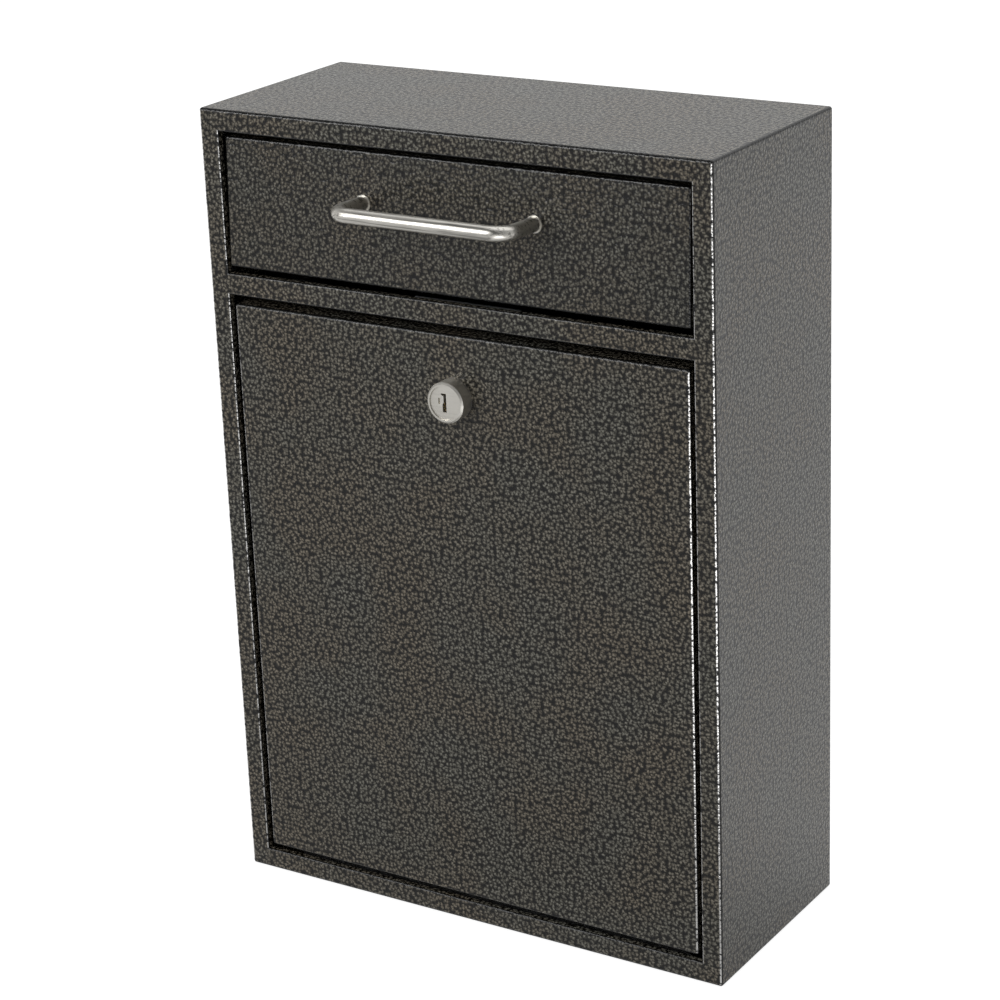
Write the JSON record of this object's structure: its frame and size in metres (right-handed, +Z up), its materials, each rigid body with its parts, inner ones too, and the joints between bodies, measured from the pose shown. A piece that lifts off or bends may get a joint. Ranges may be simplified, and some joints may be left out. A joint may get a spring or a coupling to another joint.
{
  "type": "book drop box",
  "caption": "Wall-mountable folded steel drop box with a tilting hopper, a bar pull and a bottom-hinged collection door with a cam lock.",
  "frame": {"origin": "centre of the casing's bottom face", "axes": "+X to the right seen from the front, +Y to the back (the wall side), +Z up; the front faces -Y"},
  "size_m": [0.285, 0.1481, 0.413],
  "materials": {
    "hammertone_powder_coat": "dark bronze-black hammertone powder coat with fine bright grain",
    "zinc_plated_steel": "zinc plated, dull bright",
    "satin_nickel": "satin nickel",
    "black_rubber": "matt",
    "white_nylon": "matt",
    "brass": "stamped, uncoated"
  },
  "bodies": {
    "casing": {"casing_shell": "hammertone_powder_coat", "back_panel": "hammertone_powder_coat", "anti_fishing_baffle": "hammertone_powder_coat", "lock_strike": "zinc_plated_steel", "door_hinge_channel": "zinc_plated_steel", "door_hinge_fixed_leaf": "zinc_plated_steel", "door_hinge_pin": "zinc_plated_steel", "door_stop_left": "zinc_plated_steel", "door_stop_right": "zinc_plated_steel", "door_bumper_left": "black_rubber", "door_bumper_right": "black_rubber", "hopper_bracket_left": "zinc_plated_steel", "hopper_bracket_right": "zinc_plated_steel", "hopper_bush_left": "white_nylon", "hopper_bush_right": "white_nylon", "hopper_rest_left": "zinc_plated_steel", "hopper_rest_right": "zinc_plated_steel", "hopper_bumper_left": "black_rubber", "hopper_bumper_right": "black_rubber"},
    "door": {"door_panel": "hammertone_powder_coat", "door_hinge_moving_leaf": "zinc_plated_steel", "lock_housing": "satin_nickel", "lock_nut": "zinc_plated_steel"},
    "lock_core": {"lock_plug": "satin_nickel", "lock_wafers": "brass", "lock_cam": "zinc_plated_steel", "lock_cam_washer": "zinc_plated_steel", "lock_cam_screw": "zinc_plated_steel"},
    "hopper": {"hopper_leaf": "hammertone_powder_coat", "hopper_cheek_left": "hammertone_powder_coat", "hopper_cheek_right": "hammertone_powder_coat", "hopper_chute": "hammertone_powder_coat", "hopper_rod": "zinc_plated_steel", "hopper_spacers": "white_nylon", "hopper_rod_clips": "zinc_plated_steel", "handle": "satin_nickel", "handle_screws": "zinc_plated_steel", "handle_washers": "zinc_plated_steel"}
  },
  "joints": [
    {"name": "hopper_tilt", "type": "hinge", "parent": "casing", "child": "hopper", "pos_m": [0, -0.053, 0.341], "axis": [1, 0, 0], "range_deg": [0, 50]},
    {"name": "door_swing", "type": "hinge", "parent": "casing", "child": "door", "pos_m": [0, -0.0548, 0.019], "axis": [1, 0, 0], "range_deg": [0, 90]},
    {"name": "lock_turn", "type": "hinge", "parent": "door", "child": "lock_core", "pos_m": [0, -0.0429, 0.2828], "axis": [0, 1, 0], "range_deg": [0, 90]}
  ]
}
